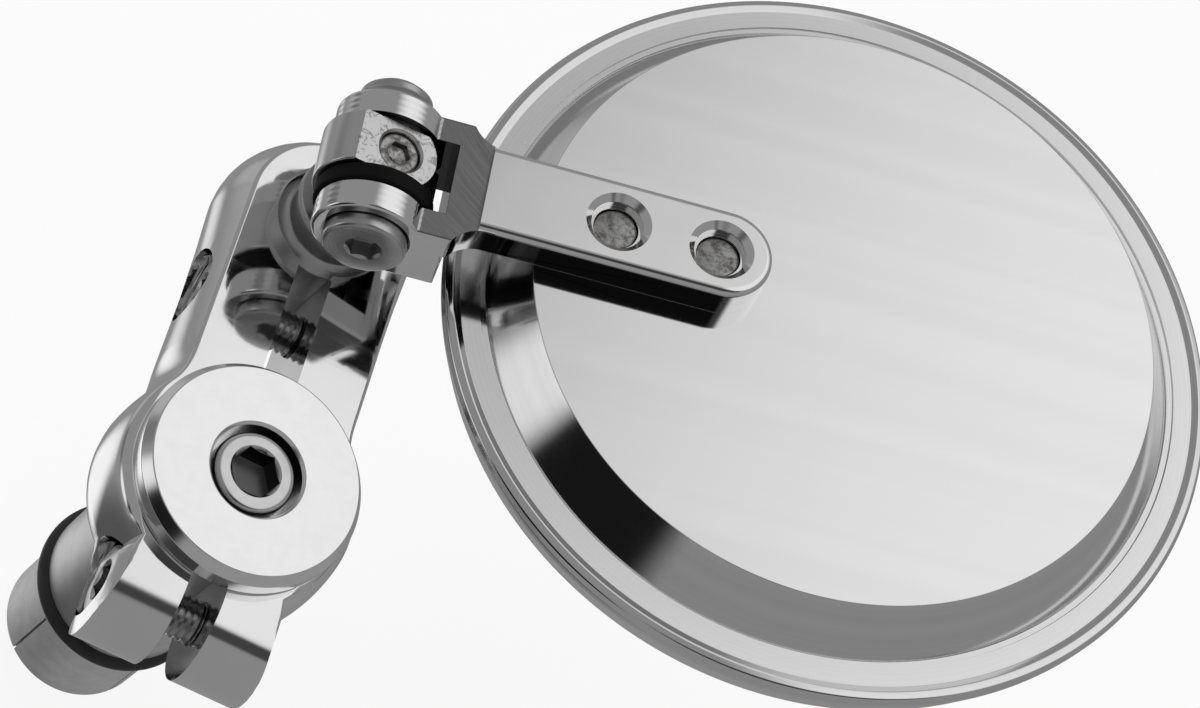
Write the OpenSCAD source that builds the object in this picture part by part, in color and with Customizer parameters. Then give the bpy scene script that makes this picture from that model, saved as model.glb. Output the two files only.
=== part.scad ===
// Bar end mirror for a motorcycle, in millimetres.
// The origin is on the bar's axis, in the plane of the bar's end. +Z leaves the bar and
// comes out of the end cap, +Y runs along the clamp arm from the bar to the mirror's swivel.

/* [Bar end fixing] */
// Outside diameter of the split expander sleeve
sleeve_d = 17.5; // [15:0.1:18.5]
// Length of sleeve that enters the bar
sleeve_length = 13; // [11:0.5:24]
// Diameter of the turned spigot that the arm clamps
spigot_d = 18.4; // [17.5:0.1:19]
// Length of spigot that shows between the rubber ring and the arm
spigot_gap = 18.8; // [4:0.2:24]
// Section thickness of the rubber ring against the bar's end
ring_section = 2.4; // [1.6:0.1:3]
// Thread diameter of the long draw bolt
draw_thread_d = 6; // [5:0.5:6]

/* [End cap] */
// Largest diameter of the cap
cap_d = 25; // [22:0.2:27]
// Thickness of the cap
cap_thickness = 3.7; // [3.2:0.1:6]
// Width of the sloped edge round the cap's face
cap_edge = 0.9; // [0.3:0.1:1.5]

/* [Clamp arm] */
// Distance between the bar's axis and the swivel's axis
arm_centres = 34.7; // [33:0.1:50]
// Thickness of the arm along the bar's axis
arm_thickness = 14.1; // [12:0.1:16]
// Width of the arm's shank
arm_width = 19.6; // [19:0.2:24]
// Diameter of the round hub at the bar
hub_d = 28.2; // [26:0.2:32]
// Distance from the bar's axis to the rounded lower end
lug_reach = 20.2; // [20:0.1:22]
// Radius of the hollow curve between hub and shank
hub_flare = 12; // [6:1:16]
// Width of the clamping slot
slot_width = 4.2; // [2.5:0.1:4.4]

/* [Swivel and pivot] */
// Diameter of the swivel stem and of the bore that grips it
stem_d = 13; // [11:0.1:13.2]
// Height of the fold axis over the arm's front face
pivot_height = 11.6; // [11:0.1:16]
// Diameter of the pivot block
block_d = 14; // [13.4:0.2:14.4]
// Height of the pivot block along the fold axis
block_height = 6.5; // [6:0.1:7.5]
// Distance from the fold axis to the block's flat
block_flat = 5; // [4.8:0.1:5.4]
// Thickness of the black friction washer
washer_thickness = 2.1; // [1:0.1:2.4]
// Diameter of the pivot bolt's shank
pivot_bolt_d = 6; // [5:0.5:6]
// Turn of the pivot block about the stem, as the mirror stands
swivel_set = 4.8; // [-10:0.1:60]
// Lift of the mirror arm about the fold axis, as the mirror stands
fold_set = 16.2; // [0:0.1:40]

/* [Mirror bracket] */
// Thickness of each fork ear
ear_thickness = 3.2; // [2.5:0.1:4]
// Distance from the fold axis to the floor of the fork
fork_floor = 7.6; // [7.5:0.1:8.4]
// Width of the tongue
tongue_width = 10.8; // [9.6:0.2:12]
// Height of the tongue's face over the fold axis
tongue_top = 4; // [3.6:0.1:4.6]
// Distance from the edge of the shell's raised flat to the first screw
screw_inset = 8.2; // [7:0.1:12]
// Distance between the two screws
screw_pitch = 11.7; // [10:0.1:13]

/* [Mirror] */
// Outside diameter of the mirror shell
mirror_d = 90; // [84:0.5:95]
// Gap between the fork's base and the mirror's rim
rim_clearance = 0.5; // [0.3:0.1:6]
// Diameter of the raised flat on the shell's back
plateau_d = 72.2; // [68:0.2:74]
// Height of the raised flat over the rim's ring
plateau_rise = 5.4; // [5:0.1:6]
// Height of the shell's outer wall
rim_wall = 4.8; // [4.4:0.1:6]
// Thickness of the glass
glass_thickness = 2; // [1.6:0.1:2.4]
// Radius of the glass's bulge
glass_bulge = 1200; // [900:50:2000]

/* [Hidden] */
$fn = 96;

// Clearances: a sliding fit on the radius, a loose hole, and the end play of a joint
fit = 0.03;
loose = 0.25;
end_play = 0.05;
eps = 0.02;

// A length past every outline, for tools that cut right through
through = 40;

// Heights along the bar's axis
arm_back_z = ring_section + spigot_gap;
arm_front_z = arm_back_z + arm_thickness;
arm_mid_z = (arm_front_z + arm_back_z) / 2;
cap_top_z = arm_front_z + cap_thickness;
pivot_z = arm_front_z + pivot_height;

// Draw bolt and what it pulls together
draw_head_r = 4.6;
draw_head_h = 5.4;
draw_socket = 5;
draw_seat_z = cap_top_z - draw_head_h - 0.5;
cap_bore_r = draw_head_r + 0.6;
cap_boss_r = 6.8;
cap_boss_h = 4.2;
cap_gap = 0.1;
spigot_recess = cap_boss_h + 0.4;
ring_root_r = 7.65;
wedge_length = 8;
wedge_top_r = 5;
wedge_end_r = sleeve_d / 2 - 1.1;
sleeve_bore_r = wedge_top_r + 0.4;
sleeve_slit = 0.8;
sleeve_solid = 1.8;

// Pinch bolts and their seats in the left side of the arm
pinch_thread_r = 2.5;
pinch_head_r = 4.1;
pinch_head_h = 3.4;
pinch_socket = 4;
pinch_seat_r = pinch_head_r + 0.35;
pinch_seat_depth = 3.4;
pinch_wall = 2.1;
lower_pinch_y = -(spigot_d / 2 + pinch_wall + pinch_thread_r);
upper_pinch_y = arm_centres - stem_d / 2 - 4.9;
pinch_end_x = arm_width / 2 - 1.4;
lug_half = arm_width / 2 - 0.7;

// Centre of the hollow curve that touches both hub and shank
flare_x = arm_width / 2 + hub_flare;
flare_y = sqrt(pow(hub_d / 2 + hub_flare, 2) - pow(flare_x, 2));

// The block and its stem
stem_top_r = block_d / 2 - 1;
ear_radius = block_d / 2 - 0.9;
washer_r = ear_radius + 0.4;
block_seat = -(washer_r + 0.3);
stud_r = 2.2;
stud_h = 1.6;
stem_neck_r = stem_d / 2 - 1.3;
stem_foot = 1.4;
block_hole_r = 2.45;
block_end_r = block_hole_r + 1.85;
block_shelf = -0.6;

// The fork, from the middle plane of the bracket outwards
thin_washer_t = 0.3;
thin_washer_r = pivot_bolt_d / 2 + 2.1;
fork_gap = block_height + washer_thickness + thin_washer_t + 3 * end_play;
fork_half = fork_gap / 2;
fork_outer = fork_half + ear_thickness;
washer_top = -fork_half + washer_thickness + end_play;
block_bottom = washer_top + end_play;
block_top = block_bottom + block_height;
pivot_head_r = 4.6;
pivot_head_h = 2.7;
pivot_socket = 3.5;
head_sink = 1.1;
nut_sleeve_r = 3.9;
nut_skirt_r = ear_radius - 0.5;
nut_head_r = nut_sleeve_r + 0.2;
nut_skirt_h = 1.7;
nut_head_h = 3.6;
nut_dome_h = 0.9;
base_end = fork_floor + 3.8;
base_top = tongue_top - 0.5;
base_back = -6.2;
base_floor_end = fork_floor + 1;
flare_r = 4.2;

// The shell, as heights over the fold axis in the bracket's frame
plateau_z = -0.35;
ring_z = plateau_z - plateau_rise;
rim_front_z = ring_z - rim_wall;
mirror_r = mirror_d / 2;
mirror_reach = base_floor_end + rim_clearance + mirror_r;
screw_first = mirror_reach - plateau_d / 2 + screw_inset;
tongue_tip = screw_first + screw_pitch + 6;
cone_foot_r = plateau_d / 2 + 4;
back_wall = 3.4;
ledge_z = ring_z - 1.9;
glass_r = mirror_r - 2;
pad_t = 0.8;
shell_screw_r = 2.5;
shell_screw_head_r = 4.6;
tongue_hole_r = 2.75;
tongue_counter_r = 3.25;
screw_end_z = tongue_top - 1.7;
tip_r = tongue_width / 2;
tongue_edge = 0.9;

/* Placing */

// Frame of the pivot block: X across, Y along the fold axis, Z away from the arm
module at_block() {
    translate([0, arm_centres, pivot_z])
        rotate([0, 0, swivel_set])
            children();
}

// Frame of the bracket: X along the tongue, Y along the fold axis, Z off the mirror's back
module at_bracket() {
    at_block()
        rotate([0, -fold_set, 0])
            children();
}

// A cylinder along +Y from y0 to y1
module rod_y(r, y0, y1) {
    translate([0, y0, 0])
        rotate([-90, 0, 0])
            cylinder(r = r, h = y1 - y0);
}

// A cylinder along +X from x0 to x1
module rod_x(r, x0, x1) {
    translate([x0, 0, 0])
        rotate([0, 90, 0])
            cylinder(r = r, h = x1 - x0);
}

// A hexagonal socket of the given width across flats, sunk from z = 0 downwards
module hex_socket(across, depth) {
    translate([0, 0, -depth])
        cylinder(d = across / cos(30), h = depth + eps, $fn = 6);
}

/* Bar end fixing */

// Turned body: front end under the cap, shoulder for the rubber ring, root inside the ring
module bar_spigot() {
    color("gainsboro")
        difference() {
            union() {
                translate([0, 0, ring_section])
                    cylinder(d = spigot_d, h = arm_front_z - ring_section);
                cylinder(r = ring_root_r, h = ring_section + eps);
            }
            translate([0, 0, arm_front_z - spigot_recess])
                cylinder(r = cap_boss_r + fit, h = spigot_recess + eps);
            translate([0, 0, -eps])
                cylinder(d = draw_thread_d + 2 * loose, h = arm_front_z);
        }
}

// Rubber ring of round section between the spigot's shoulder and the bar's end
module seat_o_ring() {
    color("black")
        translate([0, 0, ring_section / 2])
            rotate_extrude()
                translate([ring_root_r + ring_section / 2, 0])
                    circle(d = ring_section, $fn = 48);
}

// Split sleeve: plain bore at the top, tapered bore below, slit from its lower end
module expander_sleeve() {
    taper_top = -(sleeve_length - wedge_length);
    color("darkgray")
        difference() {
            rotate_extrude()
                polygon([
                    [sleeve_bore_r, 0],
                    [sleeve_d / 2, 0],
                    [sleeve_d / 2, -sleeve_length + 0.7],
                    [sleeve_d / 2 - 0.7, -sleeve_length],
                    [wedge_end_r + 0.1, -sleeve_length],
                    [sleeve_bore_r, taper_top]
                ]);
            for (turn = [0, 90])
                rotate([0, 0, 45 + turn])
                    translate([-sleeve_d, -sleeve_slit / 2, -sleeve_length - 1])
                        cube([2 * sleeve_d, sleeve_slit, sleeve_length + 1 - sleeve_solid]);
        }
}

// Cone nut that the draw bolt pulls up into the sleeve
module expander_wedge() {
    color("gray")
        translate([0, 0, -sleeve_length - 1])
            difference() {
                union() {
                    cylinder(r = wedge_end_r, h = 1);
                    translate([0, 0, 1])
                        cylinder(r1 = wedge_end_r, r2 = wedge_top_r, h = wedge_length);
                }
                translate([0, 0, -eps])
                    cylinder(d = draw_thread_d + 2 * fit, h = wedge_length + 1 + 2 * eps);
            }
}

// Long socket screw from the cap down to the cone nut
module draw_bolt() {
    foot_z = -sleeve_length - 1.5;
    color("silver")
        difference() {
            union() {
                translate([0, 0, draw_seat_z])
                    cylinder(r = draw_head_r, h = draw_head_h - 0.5);
                translate([0, 0, draw_seat_z + draw_head_h - 0.5])
                    cylinder(r1 = draw_head_r, r2 = draw_head_r - 0.5, h = 0.5);
                translate([0, 0, foot_z])
                    cylinder(d = draw_thread_d, h = draw_seat_z - foot_z + eps);
            }
            translate([0, 0, draw_seat_z + draw_head_h])
                hex_socket(draw_socket, 3);
        }
}

// Cap with a sloped edge, a bore for the screw head and a boss that centres it
module end_cap() {
    cap_r = cap_d / 2;
    bottom_z = arm_front_z + cap_gap;
    color("whitesmoke")
        rotate_extrude()
            polygon([
                [draw_thread_d / 2 + loose, arm_front_z - cap_boss_h],
                [cap_boss_r, arm_front_z - cap_boss_h],
                [cap_boss_r, bottom_z],
                [cap_r, bottom_z],
                [cap_r, cap_top_z - cap_edge * 1.4],
                [cap_r - cap_edge, cap_top_z],
                [cap_bore_r + 0.3, cap_top_z],
                [cap_bore_r, cap_top_z - 0.3],
                [cap_bore_r, draw_seat_z],
                [draw_thread_d / 2 + loose, draw_seat_z]
            ]);
}

/* Clamp arm */

// Outline of the arm: hub, shank with round end, lugs, and the hollow curves between
module arm_outline() {
    circle(r = hub_d / 2);
    translate([-arm_width / 2, 0])
        square([arm_width, arm_centres]);
    translate([0, arm_centres])
        circle(r = arm_width / 2);
    translate([-lug_half, -lug_reach - 1])
        square([2 * lug_half, lug_reach + 1]);
    for (side = [0, 1])
        mirror([side, 0])
            difference() {
                polygon([[0, 0], [flare_x, flare_y], [0, flare_y]]);
                translate([flare_x, flare_y])
                    circle(r = hub_flare);
            }
}

// Side view of the arm: a plain bar with a full round at the lugs, over the lower pinch bolt
module arm_profile() {
    round_r = arm_thickness / 2;
    round_at = round_r - lug_reach;
    translate([round_at, round_r])
        circle(r = round_r);
    translate([round_at, 0])
        square([arm_centres + arm_width - round_at, arm_thickness]);
}

// What one pinch bolt takes out of the arm: seat, loose hole on the left, tight one on the right
module pinch_cut(side_x) {
    rod_x(pinch_seat_r, -arm_width, -side_x + pinch_seat_depth);
    rod_x(pinch_thread_r + loose, -arm_width, 0);
    rod_x(pinch_thread_r + fit, 0, arm_width);
}

// One billet: lower bore for the spigot, upper bore for the stem, one slot through both
module clamp_arm() {
    color("gainsboro")
        difference() {
            intersection() {
                translate([0, 0, arm_back_z - 1])
                    linear_extrude(height = arm_thickness + 2)
                        arm_outline();
                translate([-arm_width, 0, arm_back_z])
                    rotate([90, 0, 90])
                        linear_extrude(height = 2 * arm_width)
                            arm_profile();
            }
            translate([0, 0, arm_back_z - 1])
                cylinder(d = spigot_d + 2 * fit, h = arm_thickness + 2);
            translate([0, arm_centres, arm_back_z - 1])
                cylinder(d = stem_d + 2 * fit, h = arm_thickness + 2);
            translate([-slot_width / 2, -hub_d, arm_back_z - 1])
                cube([slot_width, hub_d + arm_centres, arm_thickness + 2]);
            translate([0, lower_pinch_y, arm_mid_z])
                pinch_cut(lug_half);
            translate([0, upper_pinch_y, arm_mid_z])
                pinch_cut(arm_width / 2);
        }
}

// Socket screw lying along +X, its head in the seat on the arm's left side
module pinch_bolt(side_x) {
    seat_x = -side_x + pinch_seat_depth;
    color("silver")
        difference() {
            union() {
                rod_x(pinch_thread_r, seat_x - eps, pinch_end_x);
                rod_x(pinch_head_r, seat_x - pinch_head_h + 0.4, seat_x);
                translate([seat_x - pinch_head_h, 0, 0])
                    rotate([0, 90, 0])
                        cylinder(r1 = pinch_head_r - 0.4, r2 = pinch_head_r, h = 0.4);
            }
            translate([seat_x - pinch_head_h, 0, 0])
                rotate([0, -90, 0])
                    hex_socket(pinch_socket, 2.2);
        }
}

module lower_pinch_bolt() {
    translate([0, lower_pinch_y, arm_mid_z])
        pinch_bolt(lug_half);
}

module upper_pinch_bolt() {
    translate([0, upper_pinch_y, arm_mid_z])
        pinch_bolt(arm_width / 2);
}

/* Swivel and pivot */

// Stem: shank in the upper bore, a narrow neck, a flare to the block and a stud inside it
module swivel_stem() {
    shank_top = -pivot_height - stem_foot;
    shank_bottom = -pivot_height - arm_thickness;
    color("slategray")
        at_block()
            rotate_extrude()
                polygon([
                    [0, shank_bottom],
                    [stem_d / 2 - 0.5, shank_bottom],
                    [stem_d / 2, shank_bottom + 0.5],
                    [stem_d / 2, shank_top],
                    [stem_neck_r, shank_top + stem_foot],
                    [stem_neck_r, shank_top + 2 * stem_foot],
                    [stem_top_r, block_seat - 1],
                    [stem_top_r, block_seat],
                    [stud_r, block_seat],
                    [stud_r, block_seat + stud_h],
                    [0, block_seat + stud_h]
                ]);
}

// Block: cylinder on the fold axis with a flat and a screw hole, rounded to the screw on the right
module pivot_block() {
    mid_y = (block_bottom + block_top) / 2;
    color("silver")
        at_block()
            difference() {
                rod_y(block_d / 2, block_bottom, block_top);
                translate([-block_d, block_bottom - 1, block_flat])
                    cube([2 * block_d, block_height + 2, block_d]);
                translate([0, 0, block_seat - block_d])
                    cylinder(r = block_d, h = block_d);
                translate([0, 0, block_seat - eps])
                    cylinder(r = stud_r + fit, h = stud_h + 0.1);
                rod_y(pivot_bolt_d / 2 + fit, block_bottom - 1, block_top + 1);
                translate([0, mid_y, 0])
                    cylinder(r = block_hole_r, h = block_d);
                translate([0, mid_y, block_shelf])
                    difference() {
                        translate([0, -block_height, 0])
                            cube([block_d, 2 * block_height, block_d]);
                        translate([0, 0, -1])
                            cylinder(r = block_end_r, h = block_d + 2);
                    }
            }
}

// Socket set screw in the block's flat, resting on the pivot bolt
module block_screw() {
    mid_y = (block_bottom + block_top) / 2;
    foot = pivot_bolt_d / 2 + fit;
    color("gray")
        at_block()
            translate([0, mid_y, 0])
                difference() {
                    translate([0, 0, foot])
                        cylinder(r = block_hole_r - fit, h = block_flat - 0.5 - foot);
                    translate([0, 0, block_flat - 0.5])
                        hex_socket(2.5, 1.1);
                    rod_y(pivot_bolt_d / 2 + fit, -block_d, block_d);
                }
}

// Black plastic ring under the block
module friction_washer() {
    color("black")
        at_bracket()
            difference() {
                rod_y(washer_r, -fork_half + end_play, washer_top);
                rod_y(pivot_bolt_d / 2 + fit, -fork_outer, fork_outer);
            }
}

// Thin ring between the block and the upper ear
module thin_washer() {
    color("dimgray")
        at_bracket()
            difference() {
                rod_y(thin_washer_r, fork_half - thin_washer_t, fork_half);
                rod_y(pivot_bolt_d / 2 + fit, -fork_outer, fork_outer);
            }
}

// Shouldered screw up through both ears, its head sunk into the lower one
module pivot_bolt() {
    seat_y = -fork_outer + head_sink;
    color("silver")
        at_bracket()
            difference() {
                union() {
                    rod_y(pivot_bolt_d / 2, seat_y - eps, fork_outer - 0.6);
                    rod_y(pivot_head_r, seat_y - pivot_head_h + 0.45, seat_y);
                    translate([0, seat_y - pivot_head_h, 0])
                        rotate([-90, 0, 0])
                            cylinder(r1 = pivot_head_r - 0.45, r2 = pivot_head_r, h = 0.45);
                }
                translate([0, seat_y - pivot_head_h, 0])
                    rotate([90, 0, 0])
                        hex_socket(pivot_socket, 2);
            }
}

// Barrel nut in the upper ear: sleeve, conical skirt and a domed head
module pivot_nut() {
    color("silver")
        at_bracket()
            difference() {
                union() {
                    rod_y(nut_sleeve_r, fork_half + 0.3, fork_outer + eps);
                    rod_y(nut_head_r, fork_outer, fork_outer + nut_head_h - nut_dome_h);
                    translate([0, fork_outer, 0])
                        rotate([-90, 0, 0])
                            cylinder(r1 = nut_skirt_r, r2 = nut_head_r - eps, h = nut_skirt_h);
                    translate([0, fork_outer + nut_head_h - nut_dome_h, 0])
                        rotate([-90, 0, 0])
                            cylinder(r1 = nut_head_r, r2 = nut_head_r - 1.1, h = nut_dome_h);
                }
                rod_y(pivot_bolt_d / 2 + fit, -fork_outer, fork_outer - 0.3);
                translate([0, fork_outer + nut_head_h, 0])
                    rotate([-90, 0, 0])
                        hex_socket(pivot_socket, 1.5);
            }
}

/* Mirror bracket */

// Seen from the mirror's back: fork, hollow flares and the tongue with its round end
module bracket_plan() {
    difference() {
        union() {
            translate([-ear_radius, -fork_outer])
                square([base_end - 1.8 + ear_radius, 2 * fork_outer]);
            translate([0, -tip_r])
                square([tongue_tip - tip_r, tongue_width]);
            translate([tongue_tip - tip_r, 0])
                circle(r = tip_r);
            translate([base_end - 1.8 - eps, -tip_r - flare_r * 0.6])
                square([flare_r * 0.8, tongue_width + flare_r * 1.2]);
        }
        for (side = [-1, 1])
            translate([base_end - 1.8 + flare_r, side * (tip_r + flare_r)])
                circle(r = flare_r);
    }
}

// Seen along the fold axis: round ears, fork base, step up to the tongue
module bracket_side() {
    circle(r = ear_radius);
    translate([0, base_back])
        square([base_floor_end, base_top - base_back]);
    translate([0, plateau_z])
        square([base_end, base_top - plateau_z]);
    translate([base_end - eps, plateau_z])
        square([tongue_tip - base_end + 1, tongue_top - plateau_z]);
}

// Rounded bar from the fork to the tip: half section swept along X and turned at the tip
module tongue() {
    section = tip_r - tongue_edge;
    deep = tongue_top - plateau_z;
    centre_x = tongue_tip - tip_r;
    translate([base_end, 0, plateau_z])
        rotate([90, 0, 90])
            linear_extrude(height = centre_x - base_end)
                for (side = [0, 1])
                    mirror([side, 0])
                        tongue_half(section, deep);
    translate([centre_x, 0, plateau_z])
        rotate([0, 0, -90])
            rotate_extrude(angle = 180)
                tongue_half(section, deep);
}

// Half of the tongue's section, with its upper edge rounded
module tongue_half(flat_half, deep) {
    square([flat_half, deep]);
    translate([flat_half - eps, 0])
        square([tongue_edge + eps, deep - tongue_edge]);
    translate([flat_half, deep - tongue_edge])
        intersection() {
            circle(r = tongue_edge, $fn = 48);
            square(tongue_edge);
        }
}

// Fork: ears, base and flares, cut where plan and side view meet
module fork() {
    intersection() {
        translate([0, 0, -through / 2])
            linear_extrude(height = through)
                bracket_plan();
        rotate([90, 0, 0])
            translate([0, 0, -fork_outer])
                linear_extrude(height = 2 * fork_outer)
                    bracket_side();
        translate([-through / 2, -through / 2, -through / 2])
            cube([through / 2 + base_end + flare_r, through, through]);
    }
}

// One billet: forked end on the pivot bolt, flares, raised tongue with two screw holes
module mirror_bracket() {
    color("gainsboro")
        at_bracket()
            difference() {
                union() {
                    fork();
                    tongue();
                }
                translate([-through / 2, -fork_half, -through / 2])
                    cube([through / 2 + fork_floor, fork_gap, through]);
                rod_y(pivot_bolt_d / 2 + fit, -fork_outer - 1, 0);
                rod_y(nut_sleeve_r + fit, 0, fork_outer + 1);
                rod_y(pivot_head_r + 0.25, -fork_outer - 1, -fork_outer + head_sink);
                for (x = [screw_first, screw_first + screw_pitch])
                    translate([x, 0, 0]) {
                        translate([0, 0, -5])
                            cylinder(r = tongue_hole_r - 0.2, h = 10);
                        translate([0, 0, tongue_top - 1.5])
                            cylinder(r = tongue_counter_r - 0.3, h = 2);
                        translate([0, 0, tongue_top - 0.75])
                            cylinder(r1 = tongue_counter_r - 0.3, r2 = tongue_counter_r + 0.5,
                                     h = 0.8);
                    }
            }
}

/* Mirror */

// Countersunk screw from inside the shell, its flat end showing in the tongue
module shell_screw(x) {
    head_z = plateau_z - back_wall;
    color("lightgray")
        at_bracket()
            translate([x, 0, 0])
                difference() {
                    union() {
                        translate([0, 0, head_z])
                            cylinder(r1 = shell_screw_head_r, r2 = shell_screw_r, h = 2.1);
                        translate([0, 0, head_z + 2.1 - eps])
                            cylinder(r = shell_screw_r, h = screw_end_z - head_z - 2.1 + eps);
                    }
                    translate([0, 0, head_z])
                        mirror([0, 0, 1])
                            hex_socket(3, 1.5);
                }
}

module inner_shell_screw() {
    shell_screw(screw_first);
}

module outer_shell_screw() {
    shell_screw(screw_first + screw_pitch);
}

// Turned shell: raised flat, cone, ring, round bead, outer wall and the glass seat
module mirror_shell() {
    flat_r = plateau_d / 2;
    inner_r = flat_r - 1.6;
    ledge_r = cone_foot_r - 1.8;
    bead_r = 0.7;
    color("silver")
        at_bracket()
            translate([mirror_reach, 0, 0])
                difference() {
                    rotate_extrude($fn = 180)
                        difference() {
                            union() {
                                polygon([
                                    [0, plateau_z],
                                    [flat_r, plateau_z],
                                    [cone_foot_r, ring_z],
                                    [cone_foot_r + 0.1, ring_z - 0.25],
                                    [cone_foot_r + 0.7, ring_z - 0.25],
                                    [cone_foot_r + 0.8, ring_z],
                                    [mirror_r - 1.9, ring_z],
                                    [mirror_r - 1.1, ring_z + 0.3],
                                    [mirror_r - 0.5, ring_z + 0.3],
                                    [mirror_r, ring_z - 0.4],
                                    [mirror_r - 0.1, ring_z - 1.4],
                                    [mirror_r - 1.1, rim_front_z],
                                    [glass_r + 0.1, rim_front_z],
                                    [glass_r + 0.1, ledge_z],
                                    [ledge_r, ledge_z],
                                    [inner_r, plateau_z - back_wall],
                                    [0, plateau_z - back_wall]
                                ]);
                            }
                        }
                    for (x = [screw_first, screw_first + screw_pitch])
                        translate([x - mirror_reach, 0, plateau_z - back_wall]) {
                            translate([0, 0, -eps])
                                cylinder(r = shell_screw_r + fit, h = back_wall + 1);
                            translate([0, 0, -eps])
                                cylinder(r1 = shell_screw_head_r + fit, r2 = shell_screw_r + fit,
                                         h = 2.1 + eps);
                        }
                }
}

// Foam ring between the shell's ledge and the glass
module glass_pad() {
    color("dimgray")
        at_bracket()
            translate([mirror_reach, 0, ledge_z - pad_t])
                difference() {
                    cylinder(r = glass_r - 0.3, h = pad_t);
                    translate([0, 0, -1])
                        cylinder(r = cone_foot_r - 1.4, h = pad_t + 2);
                }
}

// Drop of the bulged glass at radius r below its crown
function bulge_drop(r) = glass_bulge - sqrt(glass_bulge * glass_bulge - r * r);

// Bulged glass of even thickness, flat only where it rests on the foam
module mirror_glass() {
    steps = 12;
    edge_z = ledge_z - pad_t;
    rise = bulge_drop(glass_r);
    color("lightblue")
        at_bracket()
            translate([mirror_reach, 0, 0])
                rotate_extrude($fn = 180)
                    polygon(concat(
                        [for (i = [0 : steps])
                            let (r = glass_r * i / steps)
                                [r, edge_z - rise + bulge_drop(r)]],
                        [for (i = [steps : -1 : 0])
                            let (r = glass_r * i / steps)
                                [r, edge_z - rise + bulge_drop(r) - glass_thickness]]
                    ));
}

bar_spigot();
seat_o_ring();
expander_sleeve();
expander_wedge();
draw_bolt();
end_cap();
clamp_arm();
lower_pinch_bolt();
upper_pinch_bolt();
swivel_stem();
pivot_block();
block_screw();
friction_washer();
thin_washer();
pivot_bolt();
pivot_nut();
mirror_bracket();
inner_shell_screw();
outer_shell_screw();
mirror_shell();
glass_pad();
mirror_glass();
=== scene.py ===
import math

import bmesh
import bpy
from mathutils import Matrix, Vector


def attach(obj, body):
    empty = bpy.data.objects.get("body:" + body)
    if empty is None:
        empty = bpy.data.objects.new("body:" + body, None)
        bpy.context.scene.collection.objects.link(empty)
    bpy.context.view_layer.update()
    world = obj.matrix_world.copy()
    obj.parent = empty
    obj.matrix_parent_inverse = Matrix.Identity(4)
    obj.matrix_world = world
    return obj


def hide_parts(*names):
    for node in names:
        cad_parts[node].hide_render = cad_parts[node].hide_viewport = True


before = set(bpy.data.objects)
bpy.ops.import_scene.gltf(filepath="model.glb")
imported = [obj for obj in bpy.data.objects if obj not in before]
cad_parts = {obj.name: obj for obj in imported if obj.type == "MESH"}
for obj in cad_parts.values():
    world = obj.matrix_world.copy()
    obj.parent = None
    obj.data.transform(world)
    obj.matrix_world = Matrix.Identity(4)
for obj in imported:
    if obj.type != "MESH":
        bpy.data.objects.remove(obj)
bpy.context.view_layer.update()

# Everything is worked out in millimetres and brought to metres when a piece is finished.
MM = 0.001

# Clearances: a close fit and a loose hole on the radius, and the end play of a joint
FIT = 0.03
LOOSE = 0.25
END_PLAY = 0.05

# Heights along the bar's axis, from the bar's end
RING = 2.4
ARM_BACK = 21.2
ARM_FRONT = 35.3
CAP_TOP = 39.0
PIVOT = 46.9

# On the bar: radii and heights of the stub, the sleeve, the draw bolt and the cap
SPIGOT = 9.2
SPIGOT_ROOT = 7.65
RECESS = 6.85
RECESS_DEEP = 4.6
SLEEVE = 8.75
SLEEVE_BORE = 5.4
SLEEVE_END = -13.0
SLEEVE_TAPER = -5.0
SLIT = 0.3
SLIT_TOP = -1.8
DRAW_THREAD = 3.0
DRAW_HOLE = DRAW_THREAD + LOOSE
DRAW_END = -14.5
DRAW_HEAD = 4.6
DRAW_HEAD_TALL = 5.4
CAP = 12.5
CAP_GAP = 0.1
CAP_BOSS = 6.8
CAP_BOSS_TALL = 4.2
CAP_WELL = 5.2
CAP_WELL_DEEP = 5.9

# The arm's outline and bores
ARM_CENTRES = 34.7
ARM_HALF = 9.8
HUB = 14.1
LUG_HALF = 9.1
LUG_END = -20.2
FLARE = 12.0
FLARE_AT = (ARM_HALF + FLARE, math.sqrt((HUB + FLARE) ** 2 - (ARM_HALF + FLARE) ** 2))
HUB_TOUCH = HUB * FLARE_AT[1] / (HUB + FLARE)
LUG_JOIN = -math.sqrt(HUB ** 2 - LUG_HALF ** 2)
SLOT = 4.2
STEM = 6.5

# The arm's walls: inset of their rims, swell between the rims, and rounding at the back and front
RIM_HUB = 0.8
RIM_LUG = 0.5
SWELL_HUB = 0.8
SWELL_SHANK = 1.3
SWELL_END = 0.9
SWELL_LUG = 1.3
BACK_EDGE = 0.5
BACK_ROUND = 5.5
FRONT_EDGE = 0.35
FRONT_ROUND = 0.8

# Where the round end begins along the arm, and the stretch over which end and lugs set in
END_FROM = 24
END_FADE = 16
LUG_FADE = 1.5

# The hub's round sides: limits in degrees from +X, and the stretch over which each one fades
SIDE_FROM = -49
SIDE_FROM_FADE = 9
SIDE_TO = 34
SIDE_TO_FADE = 22

# The pinch bolts
PINCH_Z = (ARM_BACK + ARM_FRONT) / 2
PINCH_LOW_Y = -13.8
PINCH_HIGH_Y = 23.3
PINCH_DEPTH = 3.4
PINCH_HEAD = 4.1
PINCH_HEAD_TALL = 3.4
PINCH_THREAD = 2.5
PINCH_SEAT = PINCH_HEAD + 0.35
THREAD_ROOT = 2.16
THREAD_PITCH = 0.8
THREAD_END = 9.0

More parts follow.
